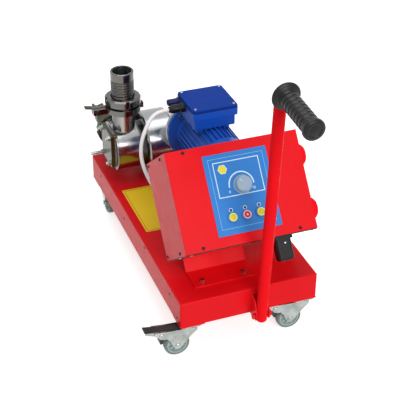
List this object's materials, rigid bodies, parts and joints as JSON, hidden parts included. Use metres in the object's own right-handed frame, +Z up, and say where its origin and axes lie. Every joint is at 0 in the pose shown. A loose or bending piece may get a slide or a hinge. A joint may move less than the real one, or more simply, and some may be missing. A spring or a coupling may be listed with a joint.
{
  "type": "honey pump on trolley",
  "caption": "Honey pump with worm gear motor and tilted control box on a folded steel trolley with swivel casters and a drawbar.",
  "frame": {"origin": "on the floor under the middle of the bounding box", "axes": "+X right seen from the drawbar end, +Y from the drawbar to the pump, +Z up"},
  "size_m": [0.5274, 1.1946, 0.8739],
  "materials": {
    "red_paint": "gloss powder coat",
    "blue_paint": "semi-gloss paint",
    "steel": "satin stainless steel",
    "polished": "polished stainless steel",
    "zinc": "zinc plated",
    "cast": "cast",
    "black_rubber": "matt",
    "grey_rubber": "matt",
    "white_rubber": "matt sheath",
    "black_plastic": "moulded",
    "blue_plastic": "moulded",
    "panel_film": "printed film",
    "knob_grey": "moulded",
    "yellow": "moulded",
    "red_plastic": "moulded",
    "bronze": "machined"
  },
  "bodies": {
    "chassis": {"blanking_plug": "blue_plastic", "box_cover": "red_paint", "box_housing": "red_paint", "button_bodies": "polished", "cable_entry": "black_plastic", "cable_gland": "black_plastic", "caster_plates": "zinc", "clamp_bolt": "steel", "cover_studs": "zinc", "deck": "red_paint", "drawbar_bolt": "zinc", "drawbar_bracket": "red_paint", "drive_unit": "cast", "drum": "polished", "fan_cowl": "blue_paint", "frame_bolts": "zinc", "gearbox_base": "zinc", "gearbox_housing": "cast", "indicator_lamps": "red_plastic", "inlet_hose_tail": "steel", "inlet_nut": "steel", "motor_cable": "white_rubber", "motor_flange": "blue_paint", "motor_housing": "blue_paint", "outlet_adapter": "steel", "outlet_clamp": "steel", "outlet_hose_tail": "steel", "outlet_nut": "steel", "panel_overlay": "panel_film", "power_connector": "black_plastic", "pump_body": "steel", "pump_cover": "steel", "shaft_seal": "black_rubber", "side_caps": "red_plastic", "speed_potentiometer": "black_plastic", "stand_bracket": "red_paint", "terminal_box": "blue_paint", "terminal_lid": "blue_paint"},
    "drawbar": {"drawbar": "red_paint", "grip": "black_rubber"},
    "knob": {"speed_knob": "knob_grey"},
    "push_left": {"button_left": "yellow"},
    "push_stop": {"button_stop": "red_plastic"},
    "push_right": {"button_right": "yellow"},
    "motor_rotor": {"motor_shaft": "steel", "fan": "black_plastic"},
    "pump_train": {"pump_shaft": "steel", "worm_wheel": "bronze", "pump_rotor": "black_rubber"},
    "wing_nut": {"clamp_wing_nut": "steel"},
    "swivel_front_left": {"caster_fork_front_left": "zinc"},
    "wheel_front_left": {"caster_wheel_front_left": "grey_rubber"},
    "swivel_front_right": {"caster_fork_front_right": "zinc"},
    "wheel_front_right": {"caster_wheel_front_right": "grey_rubber"},
    "swivel_rear_left": {"caster_fork_rear_left": "zinc"},
    "wheel_rear_left": {"caster_wheel_rear_left": "grey_rubber"},
    "swivel_rear_right": {"caster_fork_rear_right": "zinc"},
    "wheel_rear_right": {"caster_wheel_rear_right": "grey_rubber"},
    "brake_front_left": {"brake_pedal_front_left": "black_plastic"},
    "brake_front_right": {"brake_pedal_front_right": "black_plastic"}
  },
  "joints": [
    {"name": "swivel_front_left_turn", "type": "hinge", "parent": "chassis", "child": "swivel_front_left", "pos_m": [-0.13175, -0.28764, 0.105], "axis": [0, 0, 1], "continuous": true},
    {"name": "wheel_front_left_roll", "type": "hinge", "parent": "swivel_front_left", "child": "wheel_front_left", "pos_m": [-0.16875, -0.28764, 0.0375], "axis": [0, 1, 0], "continuous": true},
    {"name": "brake_front_left_press", "type": "hinge", "parent": "swivel_front_left", "child": "brake_front_left", "pos_m": [-0.15575, -0.28764, 0.083], "axis": [0, -1, 0], "range_deg": [0, 8]},
    {"name": "swivel_front_right_turn", "type": "hinge", "parent": "chassis", "child": "swivel_front_right", "pos_m": [0.21025, -0.28764, 0.105], "axis": [0, 0, 1], "continuous": true},
    {"name": "wheel_front_right_roll", "type": "hinge", "parent": "swivel_front_right", "child": "wheel_front_right", "pos_m": [0.17325, -0.28764, 0.0375], "axis": [0, 1, 0], "continuous": true},
    {"name": "brake_front_right_press", "type": "hinge", "parent": "swivel_front_right", "child": "brake_front_right", "pos_m": [0.18625, -0.28764, 0.083], "axis": [0, -1, 0], "range_deg": [0, 8]},
    {"name": "swivel_rear_left_turn", "type": "hinge", "parent": "chassis", "child": "swivel_rear_left", "pos_m": [-0.13175, 0.51232, 0.105], "axis": [0, 0, 1], "continuous": true},
    {"name": "wheel_rear_left_roll", "type": "hinge", "parent": "swivel_rear_left", "child": "wheel_rear_left", "pos_m": [-0.13175, 0.47532, 0.0375], "axis": [1, 0, 0], "continuous": true},
    {"name": "swivel_rear_right_turn", "type": "hinge", "parent": "chassis", "child": "swivel_rear_right", "pos_m": [0.21025, 0.51232, 0.105], "axis": [0, 0, 1], "continuous": true},
    {"name": "wheel_rear_right_roll", "type": "hinge", "parent": "swivel_rear_right", "child": "wheel_rear_right", "pos_m": [0.21025, 0.47532, 0.0375], "axis": [1, 0, 0], "continuous": true},
    {"name": "drawbar_tilt", "type": "hinge", "parent": "chassis", "child": "drawbar", "pos_m": [0.06025, -0.35264, 0.12], "axis": [1, 0, 0], "range_deg": [-8, 60]},
    {"name": "speed_knob_turn", "type": "hinge", "parent": "chassis", "child": "knob", "pos_m": [0.05175, -0.21141, 0.46405], "axis": [0, 0.7902, -0.6129], "range_deg": [-135, 135]},
    {"name": "push_left_press", "type": "slide", "parent": "chassis", "child": "push_left", "axis": [0, 0.7902, -0.6129], "range_m": [0, 0.003], "stiffness_N_per_m": 400, "springref_m": -0.001},
    {"name": "push_stop_press", "type": "slide", "parent": "chassis", "child": "push_stop", "axis": [0, 0.7902, -0.6129], "range_m": [0, 0.003], "stiffness_N_per_m": 400, "springref_m": -0.001},
    {"name": "push_right_press", "type": "slide", "parent": "chassis", "child": "push_right", "axis": [0, 0.7902, -0.6129], "range_m": [0, 0.003], "stiffness_N_per_m": 400, "springref_m": -0.001},
    {"name": "pump_spin", "type": "hinge", "parent": "chassis", "child": "pump_train", "pos_m": [-0.09975, 0.38232, 0.2985], "axis": [1, 0, 0], "continuous": true},
    {"name": "motor_spin", "type": "hinge", "parent": "chassis", "child": "motor_rotor", "pos_m": [0.10425, 0.38232, 0.3785], "axis": [0, 1, 0], "continuous": true},
    {"name": "wing_nut_turn", "type": "hinge", "parent": "chassis", "child": "wing_nut", "pos_m": [-0.18375, 0.38232, 0.435], "axis": [0, 1, 0], "continuous": true}
  ],
  "couplings": [
    {"joint": "motor_spin", "follows": "pump_spin", "ratio": 20}
  ]
}
